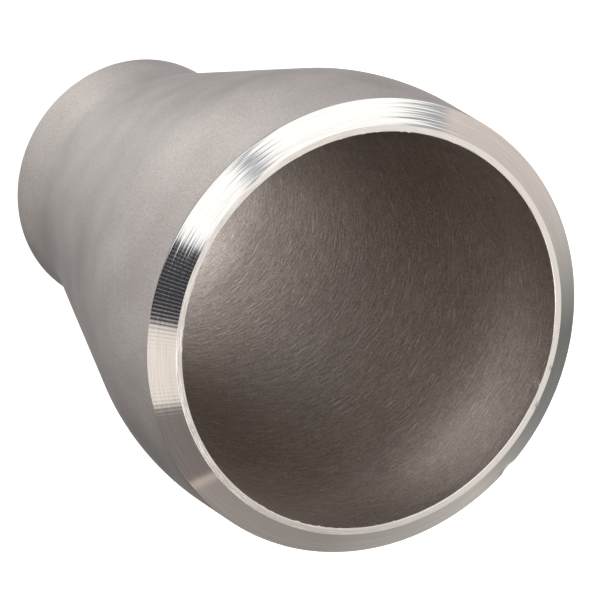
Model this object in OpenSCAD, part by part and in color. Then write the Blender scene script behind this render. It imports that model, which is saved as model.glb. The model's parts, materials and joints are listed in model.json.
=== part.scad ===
// Concentric butt-weld pipe reducer.
//
// The fitting is one seamless piece of formed pipe. A short straight end carries each pipe size, and
// a rounded shoulder, a plain cone and a hollow neck join the two. Both ends are cut square and
// bevelled for welding, with a narrow flat root face left at the bore.
//
// The axis is Z. The root face of the small end stands on z = 0, and the large mouth opens upwards.
// Everything is in millimetres and degrees.

/* [Body] */
// Length over all, from one root face to the other
body_length = 76; // [60:0.5:95]
// Outside radius of the rounded shoulder under the large end
shoulder_radius = 48; // [20:1:80]
// Outside radius of the hollow neck above the small end
neck_radius = 25; // [15:1:70]

/* [Large end] */
// Outside diameter of the large pipe size
large_od = 60.3; // [50:0.1:73]
// Wall thickness at the large end
large_wall = 3.91; // [2.5:0.01:5.6]
// Straight length of the large end, with its bevel
large_straight = 11.5; // [6:0.5:14]

/* [Small end] */
// Outside diameter of the small pipe size
small_od = 33.4; // [26:0.1:42.2]
// Wall thickness at the small end
small_wall = 3.38; // [2:0.01:4.6]
// Straight length of the small end, with its bevel
small_straight = 6.5; // [5:0.5:12]

/* [Weld bevels] */
// Angle of the bevel, measured from the plane of the end
bevel_angle = 37.5; // [30:0.5:45]
// Width of the flat root face between the bevel and the bore
root_face = 0.9; // [0.5:0.1:1.6]

/* [Hidden] */

// Straight steps in each arc of the outline, and sides in the preview of the turned shape
arc_steps = 12;
$fn = 128;

large_r = large_od / 2;
small_r = small_od / 2;

// Heights at which the transition leaves the small straight and reaches the large one
neck_z = small_straight;
shoulder_z = body_length - large_straight;

// How far the wall steps out from the small end to the large one, and how much thicker it gets
rise = large_r - small_r;
run = shoulder_z - neck_z;
thickening = large_wall - small_wall;

// The sum of the two arc radii at which the arcs meet, with no cone left between them
function meeting_arcs(step) = (step * step + run * run) / (2 * step);

// On a short or steep reducer both arcs are made smaller by the same share, so that they still meet,
// on the outside of the wall and in the bore
largest_arcs = min(meeting_arcs(rise), meeting_arcs(rise - thickening) + thickening);
arc_share = min(1, largest_arcs / (shoulder_radius + neck_radius));
shoulder_r = shoulder_radius * arc_share;
neck_r = neck_radius * arc_share;

// Height of a bevel that is cut through the given wall down to the root face
function bevel_height(wall) = (wall - root_face) * tan(bevel_angle);

// Points along an arc about the centre c, from the angle a0 to the angle a1
function arc(c, r, a0, a1) = [
    for (i = [0:arc_steps])
        let (a = a0 + (a1 - a0) * i / arc_steps) c + r * [cos(a), sin(a)]
];

// One side of the wall, from the end of the small straight to the start of the large one: an arc of
// radius r_neck that bends outwards, a straight cone, and an arc of radius r_shoulder that bends
// back to the axis. The cone touches both arcs. Its outward normal points below the horizontal,
// because the wall widens upwards, so that angle is negative.
function transition(r_small, r_large, r_neck, r_shoulder) =
    let (
        neck_c = [r_small + r_neck, neck_z],
        shoulder_c = [r_large - r_shoulder, shoulder_z],
        reach = neck_c - shoulder_c,
        cone_normal = acos((r_neck + r_shoulder) / norm(reach)) + atan2(reach.y, reach.x)
    )
    concat(
        arc(neck_c, r_neck, 180, 180 + cone_normal),
        arc(shoulder_c, r_shoulder, cone_normal, 0)
    );

// The same points in the opposite order
function reversed(points) = [for (i = [len(points) - 1:-1:0]) points[i]];

// Half of the lengthwise section: up the outside from the small end to the large one, across the
// large root face, and back down the bore
function section() = concat(
    [
        [small_r - small_wall + root_face, 0],
        [small_r, bevel_height(small_wall)]
    ],
    transition(small_r, large_r, neck_r, shoulder_r),
    [
        [large_r, body_length - bevel_height(large_wall)],
        [large_r - large_wall + root_face, body_length],
        [large_r - large_wall, body_length]
    ],
    reversed(transition(
        small_r - small_wall, large_r - large_wall, neck_r + small_wall, shoulder_r - large_wall
    )),
    [[small_r - small_wall, 0]]
);

// The whole fitting: a single seamless shell, turned about its axis
module reducer() {
    color([0.66, 0.63, 0.61])
        rotate_extrude()
            polygon(section());
}

reducer();
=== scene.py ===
# %% [markdown]
# # A concentric butt-weld pipe reducer
#
# A reducer joins a large pipe to a small one on the same axis. This one is formed from a single length
# of seamless stainless pipe. It is pressed into a die, its skin is blasted and pickled to an even
# warm grey, its bore keeps the fine rings of a brushing tool, and a lathe cuts a bright weld bevel at
# each end. So there is one piece of metal, with four finishes on it.
#
# The lesson builds that one piece with Geometry Nodes, gives it the four finishes, and sets up a
# plain studio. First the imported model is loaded, because every size below is measured from it.

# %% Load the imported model
import json
import math

import bmesh
import bpy
from mathutils import Matrix, Vector


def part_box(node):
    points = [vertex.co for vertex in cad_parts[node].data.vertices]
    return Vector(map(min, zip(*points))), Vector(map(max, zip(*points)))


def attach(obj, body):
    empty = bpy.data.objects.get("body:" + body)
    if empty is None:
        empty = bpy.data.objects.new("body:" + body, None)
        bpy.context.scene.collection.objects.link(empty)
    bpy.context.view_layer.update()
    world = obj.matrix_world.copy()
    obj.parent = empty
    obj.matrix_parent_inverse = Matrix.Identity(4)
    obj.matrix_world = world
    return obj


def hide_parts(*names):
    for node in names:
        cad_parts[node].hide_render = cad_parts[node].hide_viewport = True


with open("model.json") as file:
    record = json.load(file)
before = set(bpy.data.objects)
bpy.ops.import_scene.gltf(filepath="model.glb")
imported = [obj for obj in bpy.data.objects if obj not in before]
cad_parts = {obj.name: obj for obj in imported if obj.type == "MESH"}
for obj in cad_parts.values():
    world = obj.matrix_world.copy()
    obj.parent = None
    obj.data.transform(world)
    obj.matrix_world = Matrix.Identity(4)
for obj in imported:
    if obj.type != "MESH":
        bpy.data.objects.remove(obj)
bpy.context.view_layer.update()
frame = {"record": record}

# %% [markdown]
# ## Sizes
#
# The record states each round interface: the outside of each pipe end and its bore, with the length of
# straight wall. Reading them from there means that the drawn piece always fits the model it stands for.
# A few sizes are the maker's own and are not interfaces: the two bends of the wall, the angle of the
# bevel, and how far the sharp corners are broken.

# %% Measure the ends
MILLIMETRE = 0.001

mounts = {m["name"]: m for m in frame["record"]["mounts"]}


def mount_size(name, dimension):
    """A round mount's radius or length, in metres."""
    return mounts[name]["dims"][dimension] * MILLIMETRE


foot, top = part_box("reducer")
length = top.z - foot.z
large_radius = mount_size("large_end_outside", "r_mm")
large_wall = large_radius - mount_size("large_end_bore", "r_mm")
large_straight = mount_size("large_end_bore", "length_mm")
small_radius = mount_size("small_end_outside", "r_mm")
small_wall = small_radius - mount_size("small_end_bore", "r_mm")
small_straight = mount_size("small_end_bore", "length_mm")

shoulder_bend = 48 * MILLIMETRE
neck_bend = 25 * MILLIMETRE
bevel_angle = math.radians(37.5)
root_face = 0.9 * MILLIMETRE

print(f"length {length:.4f} m, large end {2 * large_radius:.4f} m, small end {2 * small_radius:.4f} m")
print(f"walls {large_wall:.5f} and {small_wall:.5f} m")

# %% [markdown]
# ## Small helpers for node trees
#
# Geometry Nodes, materials and the world are all node trees. A few helpers keep the cells short. One
# adds any node and fills or links its inputs, one adds a Math node and returns its result, and the
# others are built on those two.

# %% Helpers that add nodes
def add_node(tree, kind, inputs=(), **settings):
    """Adds a node. A socket given as an input is linked, and any other value is set."""
    made = tree.nodes.new(kind)
    for name, value in settings.items():
        setattr(made, name, value)
    for key, value in dict(inputs).items():
        if isinstance(value, bpy.types.NodeSocket):
            tree.links.new(value, made.inputs[key])
        else:
            made.inputs[key].default_value = value
    return made


def calc(tree, operation, first, second=0.0, third=0.0):
    """One Math node's result."""
    made = add_node(tree, "ShaderNodeMath", {0: first, 1: second, 2: third}, operation=operation)
    return made.outputs[0]


def vector(tree, x=0.0, y=0.0, z=0.0):
    """Three numbers joined to a vector."""
    return add_node(tree, "ShaderNodeCombineXYZ", {0: x, 1: y, 2: z}).outputs[0]


def between(tree, value, low, high):
    """0 below low and 1 above high, with a smooth step from one to the other."""
    made = add_node(
        tree, "ShaderNodeMapRange",
        {"Value": value, "From Min": low, "From Max": high},
        interpolation_type="SMOOTHSTEP",
    )
    return made.outputs[0]


def distance_from_axis(tree, parts):
    """How far a point is from the axis, from its separate X, Y and Z."""
    x_squared = calc(tree, "MULTIPLY", parts["X"], parts["X"])
    y_squared = calc(tree, "MULTIPLY", parts["Y"], parts["Y"])
    return calc(tree, "SQRT", calc(tree, "ADD", x_squared, y_squared))


# %% [markdown]
# ## The turned outline
#
# The whole fitting is a shape of revolution, so it could be lathed with the Screw modifier or with Spin
# in mesh code. Geometry Nodes suit it better: the outline follows a rule, which is ten corners, each
# with its own bend, and the rule stays readable with its sizes as named inputs.
#
# The ten corners go round the cut wall: up the outside, across the mouth and down the bore. The two
# bends of the wall and the broken edges are all the same thing, a fillet with a radius of its own.
# The cone between the two bends touches both of them. That fixes how far it leans, and so where the
# corners of the unbent outline are.

# %% Start the node tree, with its sizes as inputs
SIZES = {
    "Length": length,
    "Large radius": large_radius,
    "Large wall": large_wall,
    "Large straight": large_straight,
    "Small radius": small_radius,
    "Small wall": small_wall,
    "Small straight": small_straight,
    "Shoulder bend": shoulder_bend,
    "Neck bend": neck_bend,
    "Bevel angle": bevel_angle,
    "Root face": root_face,
    "Outer edge break": 0.16 * MILLIMETRE,
    "Root edge break": 0.05 * MILLIMETRE,
    "Bore edge break": 0.15 * MILLIMETRE,
    "Groove depth": 0.0035 * MILLIMETRE,
    "Burr height": 0.15 * MILLIMETRE,
    "Knock depth": 0.22 * MILLIMETRE,
    "Wall waviness": 0.11 * MILLIMETRE,
}
SIDES_AROUND = 480

shell_tree = bpy.data.node_groups.new("turned_shell", "GeometryNodeTree")
shell_tree.is_modifier = True
for name, value in SIZES.items():
    socket = shell_tree.interface.new_socket(name, in_out="INPUT", socket_type="NodeSocketFloat")
    socket.default_value = value
sides_socket = shell_tree.interface.new_socket("Sides around", in_out="INPUT", socket_type="NodeSocketInt")
sides_socket.default_value = SIDES_AROUND
shell_tree.interface.new_socket("Geometry", in_out="OUTPUT", socket_type="NodeSocketGeometry")
size = shell_tree.nodes.new("NodeGroupInput").outputs
print("inputs of the tree:", ", ".join(s.name for s in size if s.name))


# %% [markdown]
# The same sum gives the corners of the outside and of the bore. It is the sum that a draughtsman does
# for a belt that crosses between two pulleys: the two bends are the pulleys and the cone is the belt.

# %% Where the straight, cone and straight would meet with no bends
def bend_corners(tree, small_r, large_r, neck_r, shoulder_r):
    """Heights of the two corners that the neck bend and the shoulder bend round off."""
    neck_height = size["Small straight"]
    shoulder_height = calc(tree, "SUBTRACT", size["Length"], size["Large straight"])
    reach_r = calc(
        tree, "SUBTRACT",
        calc(tree, "ADD", small_r, neck_r), calc(tree, "SUBTRACT", large_r, shoulder_r),
    )
    reach_z = calc(tree, "SUBTRACT", neck_height, shoulder_height)
    r_squared = calc(tree, "MULTIPLY", reach_r, reach_r)
    z_squared = calc(tree, "MULTIPLY", reach_z, reach_z)
    reach = calc(tree, "SQRT", calc(tree, "ADD", r_squared, z_squared))
    opening = calc(tree, "ARCCOSINE", calc(tree, "DIVIDE", calc(tree, "ADD", neck_r, shoulder_r), reach))
    turned_by = calc(tree, "ADD", opening, calc(tree, "ARCTAN2", reach_z, reach_r))
    lean = calc(tree, "MULTIPLY", turned_by, -1.0)
    half_tangent = calc(tree, "TANGENT", calc(tree, "MULTIPLY", lean, 0.5))
    neck_corner = calc(tree, "MULTIPLY_ADD", neck_r, half_tangent, neck_height)
    shoulder_corner = calc(
        tree, "SUBTRACT", shoulder_height, calc(tree, "MULTIPLY", shoulder_r, half_tangent)
    )
    return neck_corner, shoulder_corner


small_bore = calc(shell_tree, "SUBTRACT", size["Small radius"], size["Small wall"])
large_bore = calc(shell_tree, "SUBTRACT", size["Large radius"], size["Large wall"])
bore_neck_bend = calc(shell_tree, "ADD", size["Neck bend"], size["Small wall"])
bore_shoulder_bend = calc(shell_tree, "SUBTRACT", size["Shoulder bend"], size["Large wall"])
outer_neck, outer_shoulder = bend_corners(
    shell_tree, size["Small radius"], size["Large radius"], size["Neck bend"], size["Shoulder bend"]
)
bore_neck, bore_shoulder = bend_corners(
    shell_tree, small_bore, large_bore, bore_neck_bend, bore_shoulder_bend
)
print("corner sums use", len(shell_tree.nodes), "nodes")

# %% [markdown]
# Now the corners can be listed, each with its place, its bend and the number of steps in that bend.
# Three Index Switch nodes hold the three lists, so that corner number 3 takes entry number 3 of each.
# The outline is drawn in X and Y. X is counted from the rail that it will travel along, and Y is
# counted downwards, because that is how the sweep will stand it up.

# %% The ten corners and their bends
bevel_slope = calc(shell_tree, "TANGENT", size["Bevel angle"])


def bevel_height(wall):
    """Height of a bevel cut through this wall, down to the root face."""
    cut_width = calc(shell_tree, "SUBTRACT", wall, size["Root face"])
    return calc(shell_tree, "MULTIPLY", cut_width, bevel_slope)


large_bevel = bevel_height(size["Large wall"])
small_bevel = bevel_height(size["Small wall"])
large_bevel_foot = calc(shell_tree, "SUBTRACT", size["Length"], large_bevel)
large_root_edge = calc(shell_tree, "ADD", large_bore, size["Root face"])
small_root_edge = calc(shell_tree, "ADD", small_bore, size["Root face"])

WALL_BEND_STEPS = 12
EDGE_STEPS = 5
corners = [  # radius, height, bend and steps in the bend
    (small_root_edge, 0.0, size["Root edge break"], EDGE_STEPS),
    (size["Small radius"], small_bevel, size["Outer edge break"], EDGE_STEPS),
    (size["Small radius"], outer_neck, size["Neck bend"], WALL_BEND_STEPS),
    (size["Large radius"], outer_shoulder, size["Shoulder bend"], WALL_BEND_STEPS),
    (size["Large radius"], large_bevel_foot, size["Outer edge break"], EDGE_STEPS),
    (large_root_edge, size["Length"], size["Root edge break"], EDGE_STEPS),
    (large_bore, size["Length"], size["Bore edge break"], EDGE_STEPS),
    (large_bore, bore_shoulder, bore_shoulder_bend, WALL_BEND_STEPS),
    (small_bore, bore_neck, bore_neck_bend, WALL_BEND_STEPS),
    (small_bore, 0.0, size["Bore edge break"], EDGE_STEPS),
]


def pick_by_corner(values, data_type):
    """An Index Switch that gives each corner its own entry of a list."""
    made = add_node(shell_tree, "GeometryNodeIndexSwitch", data_type=data_type)
    while len(made.index_switch_items) < len(values):
        made.index_switch_items.new()
    shell_tree.links.new(add_node(shell_tree, "GeometryNodeInputIndex").outputs[0], made.inputs[0])
    for socket, value in zip(list(made.inputs)[1:], values):
        if isinstance(value, bpy.types.NodeSocket):
            shell_tree.links.new(value, socket)
        else:
            socket.default_value = value
    return made.outputs[0]


rail_radius = size["Small radius"]
radii, heights, bends, bend_steps = zip(*corners)
places = [
    vector(
        shell_tree,
        calc(shell_tree, "SUBTRACT", radius, rail_radius),
        calc(shell_tree, "MULTIPLY", height, -1.0),
    )
    for radius, height in zip(radii, heights)
]
corner_chain = add_node(shell_tree, "GeometryNodeMeshLine", {"Count": len(corners)})
placed_chain = add_node(
    shell_tree, "GeometryNodeSetPosition",
    {"Geometry": corner_chain.outputs[0], "Position": pick_by_corner(places, "VECTOR")},
)
open_outline = add_node(shell_tree, "GeometryNodeMeshToCurve", {"Mesh": placed_chain.outputs[0]})
closed_outline = add_node(
    shell_tree, "GeometryNodeSetSplineCyclic", {"Geometry": open_outline.outputs[0], "Cyclic": True}
)
bent_outline = add_node(
    shell_tree, "GeometryNodeFilletCurve",
    {
        "Curve": closed_outline.outputs[0],
        "Count": pick_by_corner(bend_steps, "INT"),
        "Radius": pick_by_corner(bends, "FLOAT"),
    },
    mode="POLY",
)
print(len(corners), "corners in the outline")

# %% [markdown]
# ## Turning grooves
#
# A lathe tool leaves fine rings where it cuts the bevel. They are only a few thousandths of a
# millimetre deep, but they are what makes the bevel glint in streaks. They could be drawn as bump in
# the finish alone. Here the larger ones are real steps in the outline, so that they show in the plain
# mesh too. The long straights are first cut into short ones, finely on the bevels, less finely in the
# bore behind the mouth, where the burrs will be, and coarsely elsewhere.

# %% Cut the outline finer
FINE_STEP = 0.15 * MILLIMETRE
MOUTH_STEP = 0.45 * MILLIMETRE
COARSE_STEP = 3 * MILLIMETRE
CLEAR_OF_EDGE = 0.18 * MILLIMETRE

position = add_node(shell_tree, "GeometryNodeInputPosition").outputs[0]
here = add_node(shell_tree, "ShaderNodeSeparateXYZ", {0: position}).outputs
point_index = add_node(shell_tree, "GeometryNodeInputIndex").outputs[0]
point_count = add_node(
    shell_tree, "GeometryNodeAttributeDomainSize", {"Geometry": bent_outline.outputs[0]}, component="CURVE"
).outputs["Point Count"]
next_index = calc(shell_tree, "MODULO", calc(shell_tree, "ADD", point_index, 1.0), point_count)
next_place = add_node(
    shell_tree, "GeometryNodeFieldAtIndex", {"Index": next_index}, domain="POINT", data_type="FLOAT_VECTOR"
)
shell_tree.links.new(position, next_place.inputs["Value"])
following = add_node(shell_tree, "ShaderNodeSeparateXYZ", {0: next_place.outputs[0]}).outputs
stretch = add_node(
    shell_tree, "ShaderNodeVectorMath", {0: position, 1: next_place.outputs[0]}, operation="DISTANCE"
).outputs["Value"]
height_here = calc(shell_tree, "MULTIPLY", here["Y"], -1.0)
height_next = calc(shell_tree, "MULTIPLY", following["Y"], -1.0)
radius_here = calc(shell_tree, "ADD", here["X"], rail_radius)
lower_end = calc(shell_tree, "MINIMUM", height_here, height_next)
upper_end = calc(shell_tree, "MAXIMUM", height_here, height_next)
in_large_bevel = calc(
    shell_tree, "GREATER_THAN", lower_end, calc(shell_tree, "SUBTRACT", large_bevel_foot, FINE_STEP)
)
in_small_bevel = calc(
    shell_tree, "LESS_THAN", upper_end, calc(shell_tree, "ADD", small_bevel, FINE_STEP)
)
in_bevel = calc(shell_tree, "MAXIMUM", in_large_bevel, in_small_bevel)
in_mouth = calc(
    shell_tree, "MULTIPLY",
    calc(shell_tree, "LESS_THAN", radius_here, calc(shell_tree, "ADD", large_bore, CLEAR_OF_EDGE)),
    calc(shell_tree, "GREATER_THAN", upper_end, calc(shell_tree, "SUBTRACT", size["Length"], FINE_STEP)),
)
wall_step = calc(shell_tree, "MULTIPLY_ADD", in_mouth, MOUTH_STEP - COARSE_STEP, COARSE_STEP)
step = calc(
    shell_tree, "ADD",
    calc(shell_tree, "MULTIPLY", in_bevel, FINE_STEP),
    calc(shell_tree, "MULTIPLY", calc(shell_tree, "SUBTRACT", 1.0, in_bevel), wall_step),
)
cuts = calc(shell_tree, "FLOOR", calc(shell_tree, "DIVIDE", stretch, step))
fine_outline = add_node(
    shell_tree, "GeometryNodeSubdivideCurve", {"Curve": bent_outline.outputs[0], "Cuts": cuts}
)
print(f"steps of {FINE_STEP / MILLIMETRE:.2f} mm on the bevels, {COARSE_STEP / MILLIMETRE:.0f} elsewhere")

# %% [markdown]
# Then each point on a bevel is pushed in or out, square to the bevel, by its own small random depth.
# The points next to an edge stay where they are, so that the edges stay true.

# %% Press in the grooves
GROOVE_SEED = 11

on_large_bevel = calc(
    shell_tree, "MULTIPLY",
    calc(shell_tree, "GREATER_THAN", height_here, calc(shell_tree, "ADD", large_bevel_foot, CLEAR_OF_EDGE)),
    calc(shell_tree, "GREATER_THAN", radius_here, calc(shell_tree, "ADD", large_root_edge, CLEAR_OF_EDGE)),
)
on_small_bevel = calc(
    shell_tree, "MULTIPLY",
    calc(shell_tree, "LESS_THAN", height_here, calc(shell_tree, "SUBTRACT", small_bevel, CLEAR_OF_EDGE)),
    calc(shell_tree, "GREATER_THAN", radius_here, calc(shell_tree, "ADD", small_root_edge, CLEAR_OF_EDGE)),
)


def random_from_points(low, high, seed):
    """A random number for each point. The float sockets are told apart by their identifiers."""
    made = add_node(shell_tree, "FunctionNodeRandomValue", data_type="FLOAT")
    wanted = {"Min_001": low, "Max_001": high, "Seed": seed}
    for socket in made.inputs:
        if socket.identifier in wanted:
            socket.default_value = wanted[socket.identifier]
    return next(s for s in made.outputs if s.identifier == "Value_001")


groove = calc(shell_tree, "MULTIPLY", random_from_points(-1.0, 1.0, GROOVE_SEED), size["Groove depth"])
down_or_up = calc(shell_tree, "SUBTRACT", on_small_bevel, on_large_bevel)
grooved_outline = add_node(
    shell_tree, "GeometryNodeSetPosition",
    {
        "Geometry": fine_outline.outputs[0],
        "Selection": calc(shell_tree, "ADD", on_large_bevel, on_small_bevel),
        "Offset": vector(
            shell_tree,
            calc(shell_tree, "MULTIPLY", groove, calc(shell_tree, "SINE", size["Bevel angle"])),
            calc(
                shell_tree, "MULTIPLY",
                calc(shell_tree, "MULTIPLY", groove, calc(shell_tree, "COSINE", size["Bevel angle"])),
                down_or_up,
            ),
        ),
    },
)
print(f"grooves up to {SIZES['Groove depth'] / MILLIMETRE:.4f} mm deep")

# %% [markdown]
# ## Turning the outline round the axis
#
# Curve to Mesh carries the outline along a circle. The outline's X follows the circle's own sideways
# direction, and its Y hangs down from it. So a circle that lies flat turns the outline exactly as a
# lathe would, and closes with no seam. The sweep leaves every face pointing into the metal, and Flip
# Faces turns them outwards. The finishes below are shared out by that direction, so it comes first.

# %% Sweep the outline round a circle
rail = add_node(
    shell_tree, "GeometryNodeCurvePrimitiveCircle",
    {"Resolution": size["Sides around"], "Radius": rail_radius},
)
turned = add_node(
    shell_tree, "GeometryNodeCurveToMesh",
    {"Curve": rail.outputs["Curve"], "Profile Curve": grooved_outline.outputs[0]},
)
faced_out = add_node(shell_tree, "GeometryNodeFlipFaces", {"Mesh": turned.outputs[0]})
print("the outline is turned in", SIDES_AROUND, "sides")

# %% [markdown]
# ## Hand marks on the metal
#
# A formed fitting is never a perfect lathe shape. Its wall is slightly uneven where it was pressed, and
# the tool that faced the mouth left small burrs that lean into the bore. Both are done by moving points
# with noise. The noise reads each point's own place, so it is the same on every run. The unevenness
# fades out towards both ends, because those are cut true. Noise nodes are scaled per metre, so a scale
# of 55 makes hollows some 18 millimetres across.

# %% Uneven wall
DENTS_PER_METRE = 55.0
WAVY_FROM = (8 * MILLIMETRE, 22 * MILLIMETRE)
WAVY_UP_TO = (52 * MILLIMETRE, 66 * MILLIMETRE)

spot = add_node(shell_tree, "ShaderNodeSeparateXYZ", {0: position}).outputs
spot_radius = distance_from_axis(shell_tree, spot)
surface_normal = add_node(shell_tree, "GeometryNodeInputNormal").outputs[0]
dents = add_node(
    shell_tree, "ShaderNodeTexNoise", {"Vector": position, "Scale": DENTS_PER_METRE, "Detail": 1.0}
).outputs["Fac"]
fade = calc(
    shell_tree, "MULTIPLY",
    between(shell_tree, spot["Z"], *WAVY_FROM),
    calc(shell_tree, "SUBTRACT", 1.0, between(shell_tree, spot["Z"], *WAVY_UP_TO)),
)
full_height = calc(
    shell_tree, "MULTIPLY", calc(shell_tree, "SUBTRACT", dents, 0.5), size["Wall waviness"]
)
dent_height = calc(shell_tree, "MULTIPLY", full_height, fade)
dent_offset = add_node(
    shell_tree, "ShaderNodeVectorMath", {0: surface_normal, "Scale": dent_height}, operation="SCALE"
).outputs[0]
uneven = add_node(
    shell_tree, "GeometryNodeSetPosition", {"Geometry": faced_out.outputs[0], "Offset": dent_offset}
)
print(f"wall uneven by up to {SIZES['Wall waviness'] / MILLIMETRE:.2f} mm")

# %% [markdown]
# The burrs use two noises. A fine one gives the single burrs, and a coarse one says along which
# stretches of the edge there are any. Only points beside the bore's edge may move, straight inwards.

# %% Burrs on the bore's edge
BURRS_PER_METRE = 1400.0
PATCHES_PER_METRE = 70.0
BURR_CUT = (0.52, 0.72)
PATCH_CUT = (0.42, 0.62)
BURR_ZONE = 0.3 * MILLIMETRE

burr_noise = add_node(
    shell_tree, "ShaderNodeTexNoise",
    {"Vector": position, "Scale": BURRS_PER_METRE, "Detail": 2.0, "Roughness": 0.6},
).outputs["Fac"]
burr_patches = add_node(
    shell_tree, "ShaderNodeTexNoise", {"Vector": position, "Scale": PATCHES_PER_METRE, "Detail": 1.0}
).outputs["Fac"]
near_mouth = between(
    shell_tree, spot["Z"], calc(shell_tree, "SUBTRACT", size["Length"], BURR_ZONE), size["Length"]
)
near_bore = calc(
    shell_tree, "SUBTRACT", 1.0,
    between(shell_tree, spot_radius, large_bore, calc(shell_tree, "ADD", large_bore, BURR_ZONE)),
)
rough_edge = calc(
    shell_tree, "MULTIPLY",
    between(shell_tree, burr_noise, *BURR_CUT), between(shell_tree, burr_patches, *PATCH_CUT),
)
burr = calc(shell_tree, "MULTIPLY", rough_edge, calc(shell_tree, "MULTIPLY", near_mouth, near_bore))
burr_height = calc(shell_tree, "MULTIPLY", burr, size["Burr height"])
inward = calc(shell_tree, "DIVIDE", calc(shell_tree, "MULTIPLY", burr_height, -1.0), spot_radius)
burr_offset = vector(
    shell_tree,
    calc(shell_tree, "MULTIPLY", spot["X"], inward), calc(shell_tree, "MULTIPLY", spot["Y"], inward),
)
burred = add_node(
    shell_tree, "GeometryNodeSetPosition", {"Geometry": uneven.outputs[0], "Offset": burr_offset}
)
print(f"burrs up to {SIZES['Burr height'] / MILLIMETRE:.2f} mm high")

# %% [markdown]
# Handling leaves knocks on the sharp edges of a mouth. Here there are three: a long shallow one on the
# outer edge of the bevel, and two small ones where the bevel meets the root face. Each is a spot on an
# edge. Points close to it are pushed into the metal: the core of the spot fully, the rest less and less.

# %% Three knocks on the edges of the mouth
KNOCKS = [  # bearing in degrees, radius, height, reach, share of the knock depth, inwards and downwards
    (169.5, size["Large radius"], large_bevel_foot, 1.3 * MILLIMETRE, 1.0, (1.0, 0.0)),
    (187.0, large_root_edge, size["Length"], 0.45 * MILLIMETRE, 0.7, (0.0, 1.0)),
    (198.0, large_root_edge, size["Length"], 0.35 * MILLIMETRE, 0.6, (0.0, 1.0)),
]
KNOCK_CORE = 0.3
knocked = burred
for degrees, knock_radius, knock_height, reach, share, (inwards, downwards) in KNOCKS:
    cosine, sine = math.cos(math.radians(degrees)), math.sin(math.radians(degrees))
    centre = vector(
        shell_tree,
        calc(shell_tree, "MULTIPLY", knock_radius, cosine),
        calc(shell_tree, "MULTIPLY", knock_radius, sine),
        knock_height,
    )
    distance = add_node(
        shell_tree, "ShaderNodeVectorMath", {0: position, 1: centre}, operation="DISTANCE"
    ).outputs["Value"]
    depth = calc(
        shell_tree, "MULTIPLY",
        calc(shell_tree, "SUBTRACT", share, between(shell_tree, distance, KNOCK_CORE * reach, reach)),
        size["Knock depth"],
    )
    depth = calc(shell_tree, "MAXIMUM", depth, 0.0)
    push = vector(
        shell_tree,
        calc(shell_tree, "MULTIPLY", depth, -inwards * cosine),
        calc(shell_tree, "MULTIPLY", depth, -inwards * sine),
        calc(shell_tree, "MULTIPLY", depth, -downwards),
    )
    knocked = add_node(
        shell_tree, "GeometryNodeSetPosition", {"Geometry": knocked.outputs[0], "Offset": push}
    )
print(len(KNOCKS), "knocks")

# %% [markdown]
# ## Four finishes, by the way each face points
#
# The outside faces away from the axis, the bore faces it, a root face points straight along it, and a
# bevel leans in between. So the direction of a face is enough to tell which finish it carries, and the
# broken edges share themselves out between their neighbours. The materials are empty for now. Each is
# filled in a cell of its own below.

# %% Give each kind of face its material
blasted_skin = bpy.data.materials.new("blasted_stainless_skin")
brushed_bore = bpy.data.materials.new("brushed_stainless_bore")
turned_bevel = bpy.data.materials.new("turned_weld_bevel")
faced_root = bpy.data.materials.new("faced_root")

ROOT_FROM = 0.93
BEVEL_FROM = 0.5

normal_parts = add_node(shell_tree, "ShaderNodeSeparateXYZ", {0: surface_normal}).outputs
along_axis = calc(shell_tree, "ABSOLUTE", normal_parts["Z"])
away_from_axis = calc(
    shell_tree, "ADD",
    calc(shell_tree, "MULTIPLY", normal_parts["X"], spot["X"]),
    calc(shell_tree, "MULTIPLY", normal_parts["Y"], spot["Y"]),
)
zones = [
    (blasted_skin, True),
    (brushed_bore, calc(shell_tree, "LESS_THAN", away_from_axis, 0.0)),
    (turned_bevel, calc(shell_tree, "GREATER_THAN", along_axis, BEVEL_FROM)),
    (faced_root, calc(shell_tree, "GREATER_THAN", along_axis, ROOT_FROM)),
]
smooth = add_node(shell_tree, "GeometryNodeSetShadeSmooth", {"Geometry": knocked.outputs[0]})
last = add_node(shell_tree, "GeometryNodeRealizeInstances", {"Geometry": smooth.outputs[0]})
for material, selection in zones:
    last = add_node(
        shell_tree, "GeometryNodeSetMaterial",
        {"Geometry": last.outputs[0], "Selection": selection, "Material": material},
    )
shell_tree.links.new(last.outputs[0], shell_tree.nodes.new("NodeGroupOutput").inputs[0])
print(len(zones), "finishes,", len(shell_tree.nodes), "nodes in the tree")

# %% [markdown]
# ## From nodes to a plain mesh
#
# The tree runs on an empty mesh through a modifier. Its inputs are set by the sockets' identifiers
# before the first evaluation. The result is then copied to a plain mesh and the modifier is taken off,
# so that what is kept no longer depends on the tree.

# %% Evaluate the tree
reducer = bpy.data.objects.new("reducer_shell", bpy.data.meshes.new("reducer_shell"))
bpy.context.scene.collection.objects.link(reducer)
lathe = reducer.modifiers.new("lathe", "NODES")
lathe.node_group = shell_tree
for item in shell_tree.interface.items_tree:
    if item.in_out == "INPUT":
        lathe[item.identifier] = SIZES.get(item.name, SIDES_AROUND)
evaluated = reducer.evaluated_get(bpy.context.evaluated_depsgraph_get())
plain_mesh = bpy.data.meshes.new_from_object(evaluated)
reducer.modifiers.remove(lathe)
reducer.data = plain_mesh
shell = bmesh.new()
shell.from_mesh(plain_mesh)
open_edges = sum(1 for edge in shell.edges if not edge.is_manifold)
signed_volume = shell.calc_volume(signed=True)
print(f"volume {signed_volume * 1e9:.0f} mm3, {len(shell.faces)} faces, {open_edges} open edges")
shell.free()
print("materials:", [m.name for m in plain_mesh.materials])
lows = [min(v.co[i] for v in plain_mesh.vertices) for i in range(3)]
highs = [max(v.co[i] for v in plain_mesh.vertices) for i in range(3)]
print("shell from", [round(x, 5) for x in lows], "to", [round(x, 5) for x in highs])

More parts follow.
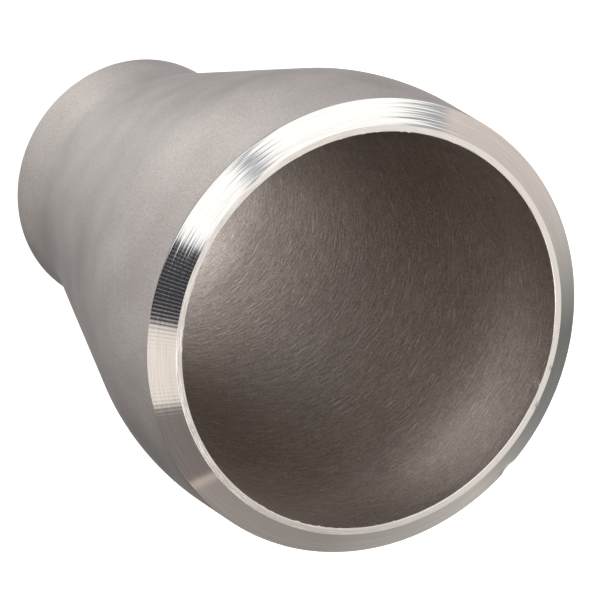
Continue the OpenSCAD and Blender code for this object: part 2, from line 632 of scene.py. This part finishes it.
# %% [markdown]
# ## The blasted and pickled skin
#
# The outside of a real fitting is shot with fine grit and then pickled in acid. The grit leaves it
# covered with tiny dimples, and the acid takes the shine off, so it is a soft, slightly warm grey with
# no clear reflections. A bright metal with a high roughness gives the softness. Two sizes of noise
# give the rest: one the size of the dimples, for bump, and one of some millimetres, for the faint
# clouds that pickling leaves. Noise takes its scale per metre, so 1 / size says how large its grain is.

# %% Helpers for the finishes
def start_finish(material):
    """Clears a material, and gives its tree, its shader and the place of each point in the object."""
    material.use_nodes = True
    tree = material.node_tree
    tree.nodes.clear()
    shader = add_node(tree, "ShaderNodeBsdfPrincipled", {"Metallic": 1.0})
    output = tree.nodes.new("ShaderNodeOutputMaterial")
    tree.links.new(shader.outputs[0], output.inputs["Surface"])
    return tree, shader, tree.nodes.new("ShaderNodeTexCoord").outputs["Object"]


def grain(tree, place, grain_size, detail=2.0, roughness=0.5):
    """Noise whose grains are about grain_size metres across."""
    settings = {"Vector": place, "Scale": 1 / grain_size, "Detail": detail, "Roughness": roughness}
    return add_node(tree, "ShaderNodeTexNoise", settings).outputs["Fac"]


def blend(tree, factor, first, second):
    """A mix of two colours."""
    made = add_node(tree, "ShaderNodeMix", data_type="RGBA")
    for key, value in ((0, factor), (6, first), (7, second)):
        if isinstance(value, bpy.types.NodeSocket):
            tree.links.new(value, made.inputs[key])
        else:
            made.inputs[key].default_value = value
    return made.outputs[2]


def remap(tree, value, low, high):
    """A number from 0 to 1, spread from low to high."""
    return add_node(tree, "ShaderNodeMapRange", {"Value": value, "To Min": low, "To Max": high}).outputs[0]


def emboss(tree, height, distance, normal=None):
    """Bump from a height, in metres of relief, on top of any bump that is given."""
    made = add_node(tree, "ShaderNodeBump", {"Height": height, "Distance": distance})
    if normal is not None:
        tree.links.new(normal, made.inputs["Normal"])
    return made.outputs[0]


# %% Fill the blasted skin
SKIN_DARK = (0.375, 0.343, 0.325, 1.0)
SKIN_LIGHT = (0.505, 0.471, 0.451, 1.0)
SKIN_ROUGHNESS = (0.36, 0.48)
CLOUD_SIZE = 9 * MILLIMETRE
DIMPLE_SIZE = 0.26 * MILLIMETRE
FINE_DIMPLE_SIZE = 0.1 * MILLIMETRE

tree, shader, place = start_finish(blasted_skin)
clouds = grain(tree, place, CLOUD_SIZE, detail=3.0)
dimples = grain(tree, place, DIMPLE_SIZE, detail=2.0, roughness=0.6)
fine_dimples = grain(tree, place, FINE_DIMPLE_SIZE, detail=1.0)
speckle = calc(tree, "MULTIPLY_ADD", dimples, 0.6, calc(tree, "MULTIPLY", clouds, 0.4))
skin_colour = blend(tree, between(tree, speckle, 0.36, 0.64), SKIN_DARK, SKIN_LIGHT)
tree.links.new(skin_colour, shader.inputs["Base Color"])
tree.links.new(remap(tree, clouds, *SKIN_ROUGHNESS), shader.inputs["Roughness"])
relief = emboss(tree, dimples, 0.02 * MILLIMETRE)
relief = emboss(tree, fine_dimples, 0.01 * MILLIMETRE, normal=relief)
tree.links.new(relief, shader.inputs["Normal"])
print(blasted_skin.name, "has", len(tree.nodes), "nodes")

# %% [markdown]
# ## The brushed bore
#
# A rotating brush has cleaned the bore. It leaves short scratches that run round the wall, nearly level,
# on a darker and browner metal than the outside. A scratch is noise that has been stretched: the
# pattern is read finely along the axis and coarsely round it. Taking the round direction from the sine
# and cosine of the angle, and not from the angle itself, leaves no seam. Two layers lean a little to
# either side, because no brush runs perfectly true, and they cross. A third, thinner layer marks single
# scratches where its noise is high and paints them a much brighter colour. This is a painted glint,
# as if each scratch caught the light.

# %% Helpers for marks that run round the axis
def around_axis(tree, place):
    """X, Y and Z of a point, its distance from the axis, and X and Y on a circle of radius 1."""
    parts = add_node(tree, "ShaderNodeSeparateXYZ", {0: place}).outputs
    radius = distance_from_axis(tree, parts)
    unit_x = calc(tree, "DIVIDE", parts["X"], radius)
    unit_y = calc(tree, "DIVIDE", parts["Y"], radius)
    return parts, radius, unit_x, unit_y


def facing_bearing(tree, unit_x, unit_y, degrees):
    """1 on the side of the axis that lies at this bearing, -1 on the far side, and smooth between."""
    cosine, sine = math.cos(math.radians(degrees)), math.sin(math.radians(degrees))
    return calc(tree, "MULTIPLY_ADD", unit_x, cosine, calc(tree, "MULTIPLY", unit_y, sine))


def scratches(tree, parts, length_along, width, lean, detail=2.0):
    """Noise drawn out round the axis: marks of about that length and width, leaning a little."""
    level = calc(tree, "MULTIPLY_ADD", parts["X"], lean, parts["Z"])
    stretched = vector(
        tree,
        calc(tree, "DIVIDE", parts["X"], length_along),
        calc(tree, "DIVIDE", parts["Y"], length_along),
        calc(tree, "DIVIDE", level, width),
    )
    settings = {"Vector": stretched, "Scale": 1.0, "Detail": detail, "Roughness": 0.6}
    return add_node(tree, "ShaderNodeTexNoise", settings).outputs["Fac"]


# %% Draw the scratches of the bore
BORE_DARK = (0.37, 0.323, 0.29, 1.0)
BORE_LIGHT = (0.56, 0.498, 0.455, 1.0)
# A painted glint colour for the single scratches, far brighter than the metal.
SCRATCH_GLINT_COLOUR = (0.88, 0.82, 0.77, 1.0)
BORE_ROUGHNESS = (0.38, 0.52)

tree, shader, place = start_finish(brushed_bore)
parts, _, unit_x, unit_y = around_axis(tree, place)
long_marks = scratches(tree, parts, 1.9 * MILLIMETRE, 0.24 * MILLIMETRE, 0.06, detail=3.0)
cross_marks = scratches(tree, parts, 1.3 * MILLIMETRE, 0.24 * MILLIMETRE, -0.2)
glinting_scratches = scratches(tree, parts, 2.8 * MILLIMETRE, 0.16 * MILLIMETRE, 0.12)
bore_grain = grain(tree, place, 0.3 * MILLIMETRE, detail=2.0, roughness=0.6)
bore_clouds = grain(tree, place, 7 * MILLIMETRE, detail=2.0)
marks = calc(tree, "MULTIPLY_ADD", long_marks, 0.6, calc(tree, "MULTIPLY", cross_marks, 0.4))
bore_tone = calc(tree, "MULTIPLY_ADD", marks, 0.55, calc(tree, "MULTIPLY", bore_grain, 0.45))
bore_colour = blend(tree, between(tree, bore_tone, 0.4, 0.6), BORE_DARK, BORE_LIGHT)
# Painted glint: the single scratches take a colour far brighter than the metal, as if they caught the
# light.
bore_colour = blend(tree, between(tree, glinting_scratches, 0.625, 0.74), bore_colour, SCRATCH_GLINT_COLOUR)
tree.links.new(remap(tree, bore_clouds, *BORE_ROUGHNESS), shader.inputs["Roughness"])
relief = emboss(tree, long_marks, 0.05 * MILLIMETRE)
relief = emboss(tree, cross_marks, 0.026 * MILLIMETRE, normal=relief)
relief = emboss(tree, bore_grain, 0.018 * MILLIMETRE, normal=relief)
tree.links.new(relief, shader.inputs["Normal"])
print(len(tree.nodes), "nodes draw the scratches")

# %% [markdown]
# The bore's colour carries painted light and shade. One side is painted lighter and the other darker,
# as light falls on it. A strip on the dark side is painted darker still, as a band of shade, and the
# bore is painted darker further down from the mouth, where shade deepens. The three are numbers
# about 1 that the colour is multiplied by.

# %% Paint light and shade into the bore
LIT_SIDE_BEARING = 128  # degrees of bearing, as for the next one
SHADE_STRIP_BEARING = 288
SIDE_LIGHT_AND_SHADE = (0.78, 1.25)
SHADE_STRIP_TONE = 0.64
DEPTH_SHADE_TONES = (0.90, 1.22)
DARKEST_SHADE_BY = 30 * MILLIMETRE
MOUTH_LIGHT_FROM = 72 * MILLIMETRE

# Painted light and shade: the side at the first bearing is painted lighter and the far side darker, as
# light falls on the bore.
lit_side = facing_bearing(tree, unit_x, unit_y, LIT_SIDE_BEARING)
side_shade_range = {"From Min": -1.0, "From Max": 1.0, "To Min": SIDE_LIGHT_AND_SHADE[0], "To Max": SIDE_LIGHT_AND_SHADE[1]}
painted_side_light = add_node(tree, "ShaderNodeMapRange", {"Value": lit_side, **side_shade_range}).outputs[0]
# A painted band of shade: a strip at the second bearing is painted darker still.
shade_strip_side = facing_bearing(tree, unit_x, unit_y, SHADE_STRIP_BEARING)
painted_strip_shade = remap(tree, between(tree, shade_strip_side, 0.82, 1.0), 1.0, SHADE_STRIP_TONE)
# Painted shade: the bore is painted darker further down from the mouth and lighter close to it.
depth_shade_mask = between(tree, parts["Z"], DARKEST_SHADE_BY, MOUTH_LIGHT_FROM)
painted_depth_shade = remap(tree, depth_shade_mask, *DEPTH_SHADE_TONES)
painted_bore_shading = calc(tree, "MULTIPLY", calc(tree, "MULTIPLY", painted_side_light, painted_strip_shade), painted_depth_shade)
# The painted light and shade multiply the bore's colour.
bore_colour = add_node(
    tree, "ShaderNodeVectorMath", {0: bore_colour, "Scale": painted_bore_shading}, operation="SCALE"
).outputs[0]
tree.links.new(bore_colour, shader.inputs["Base Color"])
print(brushed_bore.name, "has", len(tree.nodes), "nodes")

# %% [markdown]
# ## The turned weld bevel
#
# A lathe tool cuts the bevel, so it is bright and nearly a mirror, with two sets of marks. Fine rings run
# round it, where the tool fed across. Short even lines run straight across it, where the tool
# chattered: the work shook a few hundred times in each turn. The rings are noise read finely along
# the axis, in two widths. The wide ones tilt the surface by a degree or two, and that is what breaks
# the edge of a reflection into a comb of streaks. The chatter is a sine of the angle with a whole number
# of waves, so that it closes on itself. It is strong on the side where the cut began and fades away.
# The crest of each mark is a little torn, so it is rougher and shows as a fine light line in the dark.
# Beside the root face the tool was about to leave the metal and rubbed, so some rings there are dull.

# %% A helper for rings
def turned_rings(tree, unit_x, unit_y, across, spacing, drift, detail=1.0):
    """Noise in rings about that far apart, which changes slowly round the ring."""
    place = vector(
        tree, calc(tree, "MULTIPLY", unit_x, drift), calc(tree, "MULTIPLY", unit_y, drift),
        calc(tree, "DIVIDE", across, spacing),
    )
    settings = {"Vector": place, "Scale": 1.0, "Detail": detail, "Roughness": 0.6}
    return add_node(tree, "ShaderNodeTexNoise", settings).outputs["Fac"]


# %% Fill the turned bevel
CHATTER_MARKS = 362.0
CHATTER_SIDE = 31  # degrees of bearing
BEVEL_DARK = (0.70, 0.675, 0.65, 1.0)
BEVEL_LIGHT = (0.79, 0.77, 0.745, 1.0)
RUBBED = (0.56, 0.55, 0.55, 1.0)
BEVEL_ROUGHNESS = (0.05, 0.12)
TORN_CREST_ROUGHNESS = 0.14
RUBBED_FROM = 1.3 * MILLIMETRE
RUBBED_FULLY = 0.6 * MILLIMETRE

tree, shader, place = start_finish(turned_bevel)
parts, _, unit_x, unit_y = around_axis(tree, place)
angle = calc(tree, "ARCTAN2", parts["Y"], parts["X"])
wide_rings = turned_rings(tree, unit_x, unit_y, parts["Z"], 0.22 * MILLIMETRE, 1.7)
fine_rings = turned_rings(tree, unit_x, unit_y, parts["Z"], 0.11 * MILLIMETRE, 3.0, detail=2.0)
wave = calc(tree, "SINE", calc(tree, "MULTIPLY", angle, CHATTER_MARKS))
near_start = facing_bearing(tree, unit_x, unit_y, CHATTER_SIDE)
shake = remap(tree, between(tree, near_start, 0.90, 0.975), 0.03, 1.0)
chatter = calc(tree, "MULTIPLY", wave, shake)
crest = calc(tree, "MULTIPLY", between(tree, wave, 0.1, 0.9), shake)
bevel_colour = blend(tree, between(tree, fine_rings, 0.32, 0.68), BEVEL_DARK, BEVEL_LIGHT)
from_middle = calc(tree, "ABSOLUTE", calc(tree, "SUBTRACT", parts["Z"], length / 2))
near_root = between(tree, from_middle, length / 2 - RUBBED_FROM, length / 2 - RUBBED_FULLY)
dull_rings = between(tree, fine_rings, 0.5, 0.6)
dull_lines = calc(tree, "MULTIPLY", dull_rings, calc(tree, "MULTIPLY", near_root, 0.5))
bevel_colour = blend(tree, dull_lines, bevel_colour, RUBBED)
tree.links.new(bevel_colour, shader.inputs["Base Color"])
ring_roughness = remap(tree, fine_rings, *BEVEL_ROUGHNESS)
bevel_roughness = calc(tree, "MULTIPLY_ADD", crest, TORN_CREST_ROUGHNESS, ring_roughness)
tree.links.new(bevel_roughness, shader.inputs["Roughness"])
relief = emboss(tree, wide_rings, 0.017 * MILLIMETRE)
relief = emboss(tree, fine_rings, 0.0022 * MILLIMETRE, normal=relief)
relief = emboss(tree, chatter, 0.0006 * MILLIMETRE, normal=relief)
tree.links.new(relief, shader.inputs["Normal"])
print(turned_bevel.name, "has", len(tree.nodes), "nodes")

# %% [markdown]
# ## The root face
#
# The narrow flat ring beside the bore is faced off last. It has the same bright metal as the bevel and
# fine rings too, but there is no chatter. It is also rougher, so it carries an even light nearly all
# the way round.
#
# Its rings are too fine for bump, which reads the height in steps and loses what is finer than a step.
# So they tilt the surface's direction by a sum instead: outwards or inwards, by as much as the ring's
# own noise says. A small steady tilt outwards is added, because the face falls off slightly towards the
# bevel.

# %% Fill the root face
ROOT_DARK = (0.74, 0.71, 0.68, 1.0)
ROOT_LIGHT = (0.86, 0.83, 0.80, 1.0)
ROOT_ROUGHNESS = (0.2, 0.34)
STEADY_TILT = 0.13
RING_TILT = 0.25

tree, shader, place = start_finish(faced_root)
parts, radius, unit_x, unit_y = around_axis(tree, place)
face_rings = turned_rings(tree, unit_x, unit_y, radius, 0.1 * MILLIMETRE, 9.0, detail=2.0)
root_colour = blend(tree, between(tree, face_rings, 0.3, 0.7), ROOT_DARK, ROOT_LIGHT)
tree.links.new(root_colour, shader.inputs["Base Color"])
tree.links.new(remap(tree, face_rings, *ROOT_ROUGHNESS), shader.inputs["Roughness"])
outward = add_node(
    tree, "ShaderNodeVectorTransform", {0: vector(tree, unit_x, unit_y, 0.0)},
    vector_type="VECTOR", convert_from="OBJECT", convert_to="WORLD",
).outputs[0]
tilt = remap(tree, face_rings, STEADY_TILT - RING_TILT, STEADY_TILT + RING_TILT)
flat_normal = tree.nodes.new("ShaderNodeNewGeometry").outputs["Normal"]
leaning = add_node(
    tree, "ShaderNodeVectorMath", {0: outward, 1: tilt, 2: flat_normal}, operation="MULTIPLY_ADD"
).outputs[0]
tilted_normal = add_node(tree, "ShaderNodeVectorMath", {0: leaning}, operation="NORMALIZE").outputs[0]
tree.links.new(tilted_normal, shader.inputs["Normal"])
print(faced_root.name, "has", len(tree.nodes), "nodes")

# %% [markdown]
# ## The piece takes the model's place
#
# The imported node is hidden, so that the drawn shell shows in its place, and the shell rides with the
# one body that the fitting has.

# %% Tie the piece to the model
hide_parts("reducer")
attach(reducer, "root")

# %% [markdown]
# ## The studio
#
# The ground is a plain pale floor, bright enough that nothing distracts from the metal. It is kept out
# of the metal's reflections, which come from the soft surroundings instead, as they would if the fitting
# were held up in the middle of a light tent.

# %% Lay the floor
FLOOR_HALF = 12.0
FLOOR_PALE = (0.9, 0.9, 0.9, 1.0)
FLOOR_ROUGHNESS = 0.9
FLOOR_GLOW = 0.7
WHITE = (1.0, 1.0, 1.0, 1.0)

floor_mesh = bpy.data.meshes.new("floor")
floor_corners = [(FLOOR_HALF * x, FLOOR_HALF * y, 0) for x, y in ((-1, -1), (1, -1), (1, 1), (-1, 1))]
floor_mesh.from_pydata(floor_corners, [], [(0, 1, 2, 3)])
floor = bpy.data.objects.new("floor", floor_mesh)
bpy.context.scene.collection.objects.link(floor)
pale = bpy.data.materials.new("pale_floor")
pale.use_nodes = True
paint = pale.node_tree.nodes["Principled BSDF"]
paint.inputs["Base Color"].default_value = FLOOR_PALE
paint.inputs["Roughness"].default_value = FLOOR_ROUGHNESS
paint.inputs["Emission Color"].default_value = WHITE
paint.inputs["Emission Strength"].default_value = FLOOR_GLOW
floor_mesh.materials.append(pale)
floor.visible_glossy = False
floor.visible_shadow = False
print("floor", 2 * FLOOR_HALF, "m across")

# %% [markdown]
# ## The room, by compass direction
#
# Bright turned metal shows its surroundings as clear bands, so what stands where decides how the bevel
# reads. Lamps could be hung round the fitting. A world shader does the same with less: it says how
# bright the room is in each direction. The direction is turned into a compass bearing and a height
# above the horizon, both in degrees, because that is how cards and lamps are placed in a studio.
#
# First come the walls, in one colour ramp that goes once round the compass. It starts at -180 degrees.
# The sharp steps are the edges of cards, and the slow ones are the plain room. The edges lean a little
# with height. A groove in the bevel tips what it mirrors along just such a line, so the edge of a card
# stays one clean line across the grooves.

# %% Paint the walls
world = bpy.data.worlds.new("studio_room")
bpy.context.scene.world = world
world.use_nodes = True
tree = world.node_tree
tree.nodes.clear()
direction = tree.nodes.new("ShaderNodeTexCoord").outputs["Generated"]
look = add_node(tree, "ShaderNodeSeparateXYZ", {0: direction}).outputs
bearing = calc(tree, "DEGREES", calc(tree, "ARCTAN2", look["Y"], look["X"]))
climb = calc(tree, "DEGREES", calc(tree, "ARCSINE", look["Z"]))


def round_compass(angle, stops_in):
    """A colour ramp that goes once round the compass, from -180 to 180 degrees."""
    ramp = tree.nodes.new("ShaderNodeValToRGB")
    whole_turn = {"Value": angle, "From Min": -180.0, "From Max": 180.0}
    tree.links.new(add_node(tree, "ShaderNodeMapRange", whole_turn).outputs[0], ramp.inputs[0])
    stops = ramp.color_ramp.elements
    while len(stops) < len(stops_in):
        stops.new(0.5)
    for stop, (degrees, colour) in zip(stops, stops_in):
        stop.position = (degrees + 180) / 360
        stop.color = (*colour, 1.0)
    return ramp.outputs[0]


WALL_LEAN = 0.25
leaning_bearing = calc(
    tree, "WRAP", calc(tree, "MULTIPLY_ADD", climb, -WALL_LEAN, bearing), 180.0, -180.0
)
WALLS = [
    (-180, (0.414, 0.405, 0.385)),
    (-178.8, (0.38, 0.372, 0.355)),
    (-173.8, (0.27, 0.275, 0.265)),
    (-162.8, (0.205, 0.21, 0.203)),
    (-149.7, (0.60, 0.572, 0.54)),
    (-140, (0.76, 0.69, 0.655)),
    (-113.6, (0.83, 0.75, 0.705)),
    (-111.9, (0.47, 0.485, 0.52)),
    (-1.1, (0.56, 0.575, 0.61)),
    (-0.1, (0.05, 0.052, 0.065)),
    (35.6, (0.05, 0.052, 0.065)),
    (36.1, (1.03, 0.95, 0.89)),
    (68.1, (1.03, 0.96, 0.90)),
    (68.6, (0.25, 0.225, 0.22)),
    (97.1, (0.25, 0.218, 0.21)),
    (97.6, (0.70, 0.61, 0.54)),
    (99.9, (0.60, 0.53, 0.47)),
    (100.5, (0.385, 0.347, 0.325)),
    (140, (0.37, 0.34, 0.318)),
    (161, (0.49, 0.47, 0.443)),
    (173, (0.61, 0.588, 0.545)),
    (180, (0.414, 0.405, 0.385)),
]
walls = round_compass(leaning_bearing, WALLS)
print(len(WALLS), "stops round the compass")

# %% [markdown]
# The ground is seen by the outside of the fitting, which faces partly down. It comes in three steps
# under the horizon. The far and the near ground have a ramp of their own, with a level of grey at every
# 45 degrees, and straight below there is one plain grey.

# %% Lay the ground under the walls
def greys(levels):
    """Stops every 45 degrees, from plain levels of a slightly warm grey."""
    return [
        (-180 + 45 * i, (1.01 * level, 0.995 * level, 0.985 * level)) for i, level in enumerate(levels)
    ]


far_ground = round_compass(bearing, greys([0.74, 0.83, 1.37, 0.95, 0.95, 1.10, 0.20, 0.43, 0.74]))
near_ground = round_compass(bearing, greys([0.75, 0.36, 0.70, 1.85, 1.30, 0.80, 0.62, 0.05, 0.75]))
GROUNDS = [  # where it starts and is reached in full, in degrees of climb, and its colour
    (-27.0, -33.0, far_ground),
    (-46.0, -54.0, near_ground),
    (-76.0, -84.0, (0.85, 0.84, 0.83, 1.0)),
]
room = walls
for starts, in_full, ground in GROUNDS:
    room = blend(tree, between(tree, climb, starts, in_full), room, ground)
print(len(GROUNDS), "steps of ground")

# %% [markdown]
# Last come the soft boxes overhead, laid over the walls. A box is a patch with soft or sharp edges. Its
# sides may lean. Where a side leans far, the wide rings of the bevel catch it one after another and
# show it as a comb of streaks. The camera itself looks past all of this and sees plain white, as behind
# the edge of the floor.

# %% Hang the soft boxes and switch the room on
def card(azimuth, elevation, wide, high, soft, lean_low=0.0, lean_high=0.0):
    """A patch of wide by high degrees round one direction, with leaning sides. 1 inside, 0 outside."""
    across = calc(tree, "WRAP", calc(tree, "SUBTRACT", bearing, azimuth), 180.0, -180.0)
    along = calc(tree, "SUBTRACT", climb, elevation)
    low_side = calc(tree, "MULTIPLY_ADD", along, -lean_low, across)
    high_side = calc(tree, "MULTIPLY_ADD", along, -lean_high, across)
    sideways = calc(
        tree, "MULTIPLY",
        between(tree, low_side, -(wide + soft) / 2, -(wide - soft) / 2),
        between(tree, high_side, (wide + soft) / 2, (wide - soft) / 2),
    )
    upright = calc(
        tree, "MULTIPLY",
        between(tree, along, -(high + soft) / 2, -(high - soft) / 2),
        between(tree, along, (high + soft) / 2, (high - soft) / 2),
    )
    return calc(tree, "MULTIPLY", sideways, upright)


SOFT_BOXES = [
    (card(-63, 37, 40, 52, 6.0, lean_low=1.1, lean_high=1.1), (1.42, 1.42, 1.41, 1.0)),
    (card(-9, 46, 31, 36, 6.0, lean_low=1.1, lean_high=-1.2), (1.42, 1.42, 1.42, 1.0)),
    (card(-159, 62, 72, 60, 14.0), (0.96, 0.92, 0.885, 1.0)),
    (card(-40, 72, 120, 16, 6.0), (1.97, 1.93, 1.9, 1.0)),
    (card(80, 72, 120, 16, 6.0), (1.32, 1.3, 1.28, 1.0)),
    (card(95, 56, 80, 20, 4.0), (2.6, 2.5, 2.4, 1.0)),
    (between(tree, climb, 78.0, 84.0), (1.11, 1.1, 1.08, 1.0)),
]
for mask, colour in SOFT_BOXES:
    room = blend(tree, mask, room, colour)
to_camera = tree.nodes.new("ShaderNodeLightPath").outputs["Is Camera Ray"]
seen = blend(tree, to_camera, room, WHITE)
background = add_node(tree, "ShaderNodeBackground", {"Color": seen, "Strength": 1.0})
tree.links.new(background.outputs[0], tree.nodes.new("ShaderNodeOutputWorld").inputs["Surface"])
bpy.context.scene.view_settings.view_transform = "Standard"
print(len(SOFT_BOXES), "soft boxes in the room")

# %% [markdown]
# ## The camera
#
# The view looks down into the mouth from a little more than 60 degrees above the floor, with a long
# lens from far away, so that the two ends keep their true sizes against each other. The camera is
# also rolled well over to its side, so that the small end points up and to the left.

# %% Place the camera
VIEW_ELEVATION = 60.31
VIEW_AZIMUTH = -0.09
CAMERA_ROLL = 122.32
CAMERA_DISTANCE = 1.7984
LENS = 827.3
SENSOR_WIDTH = 36.0
FAR_CLIP = 50.0
AIM = Vector((-0.01057, 0.00147, 0.038))

camera_data = bpy.data.cameras.new("camera")
camera_data.lens = LENS
camera_data.sensor_width = SENSOR_WIDTH
camera_data.clip_end = FAR_CLIP
camera = bpy.data.objects.new("camera", camera_data)
azimuth, elevation = math.radians(VIEW_AZIMUTH), math.radians(VIEW_ELEVATION)
away = Vector((
    math.cos(azimuth) * math.cos(elevation), math.sin(azimuth) * math.cos(elevation), math.sin(elevation)
))
upright_turn = away.to_track_quat("Z", "Y").to_matrix().to_4x4()
turn = upright_turn @ Matrix.Rotation(math.radians(CAMERA_ROLL), 4, "Z")
camera.matrix_world = Matrix.Translation(AIM + away * CAMERA_DISTANCE) @ turn
bpy.context.scene.collection.objects.link(camera)
bpy.context.scene.camera = camera
print("camera right", [round(x, 4) for x in turn.col[0][:3]], "up", [round(x, 4) for x in turn.col[1][:3]])
